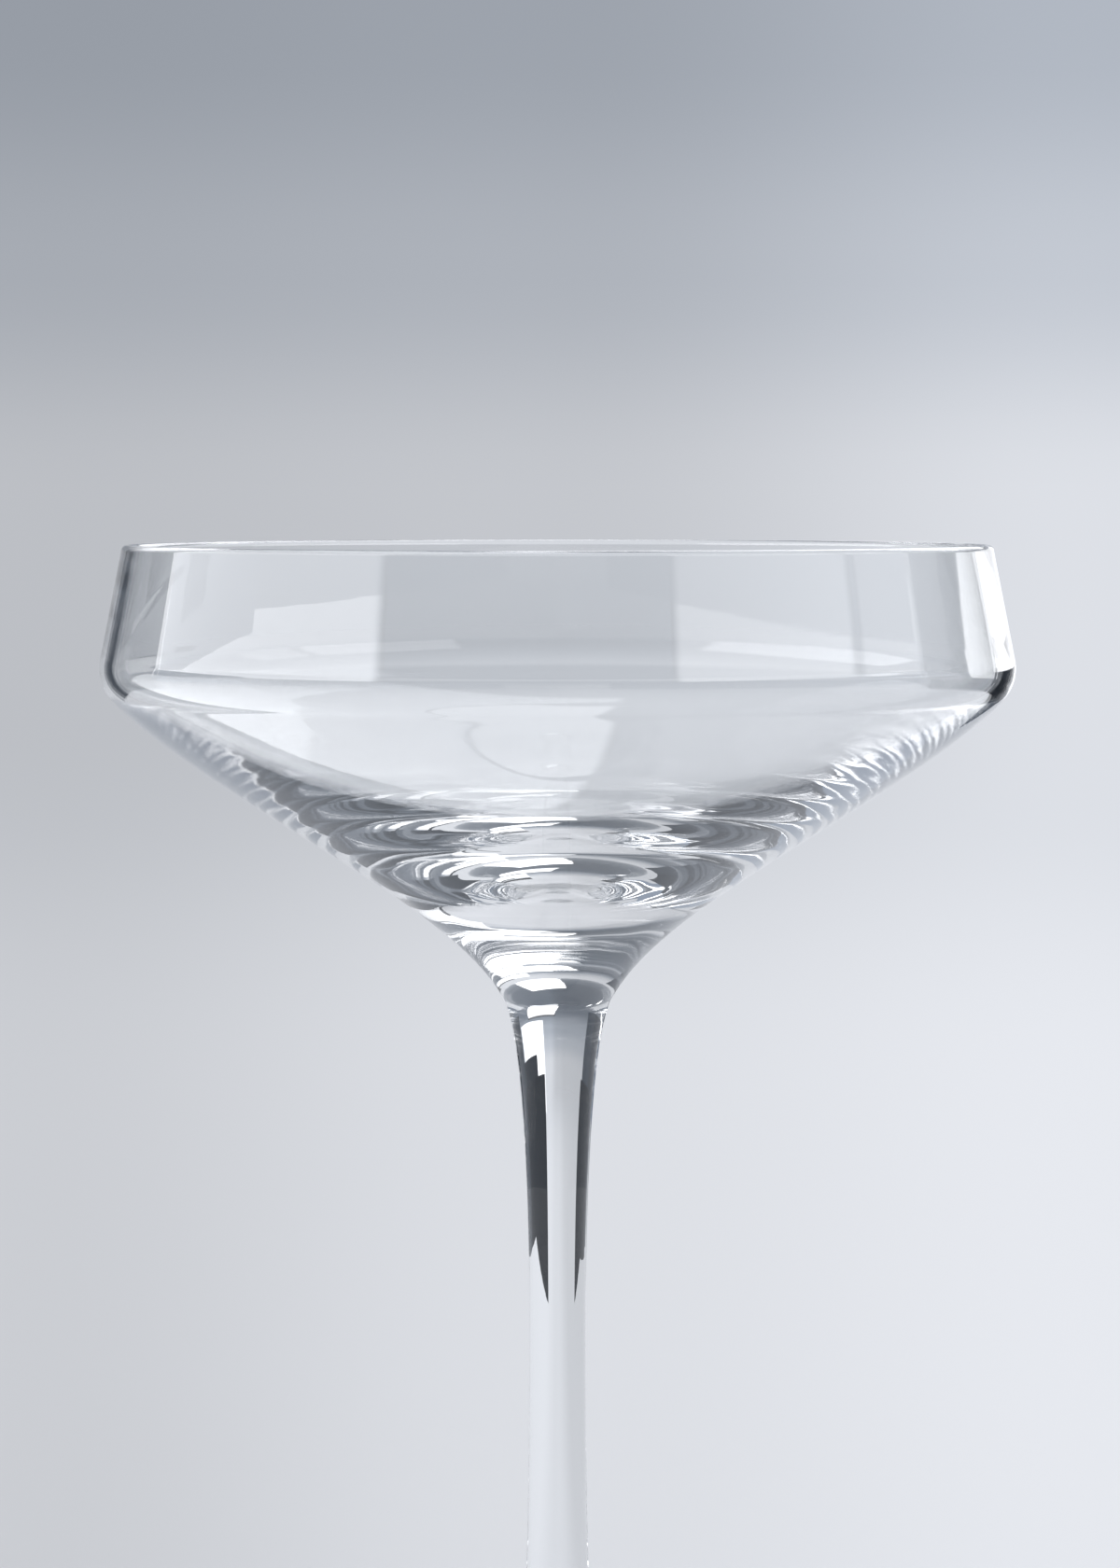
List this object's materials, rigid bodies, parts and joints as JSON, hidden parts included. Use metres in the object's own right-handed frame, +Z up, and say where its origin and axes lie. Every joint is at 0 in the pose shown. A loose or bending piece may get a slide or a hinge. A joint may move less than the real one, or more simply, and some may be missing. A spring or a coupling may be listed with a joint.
{
  "type": "cocktail glass",
  "caption": "Clear glass coupe for cocktails: a wide shallow bowl with an inward-leaning wall and rounded shoulder, on a slim drawn stem and a round trumpet foot.",
  "frame": {"origin": "on the axis of the glass, in the plane of the standing ring under the foot", "axes": "+Z up along the axis of the stem, towards the lip; X and Y are any two directions across, because the glass is round"},
  "size_m": [0.11, 0.11, 0.163],
  "materials": {
    "clear_glass": "fire-polished, clear and colourless"
  },
  "bodies": {
    "root": {"bowl": "clear_glass", "stem": "clear_glass", "foot": "clear_glass"}
  },
  "joints": []
}
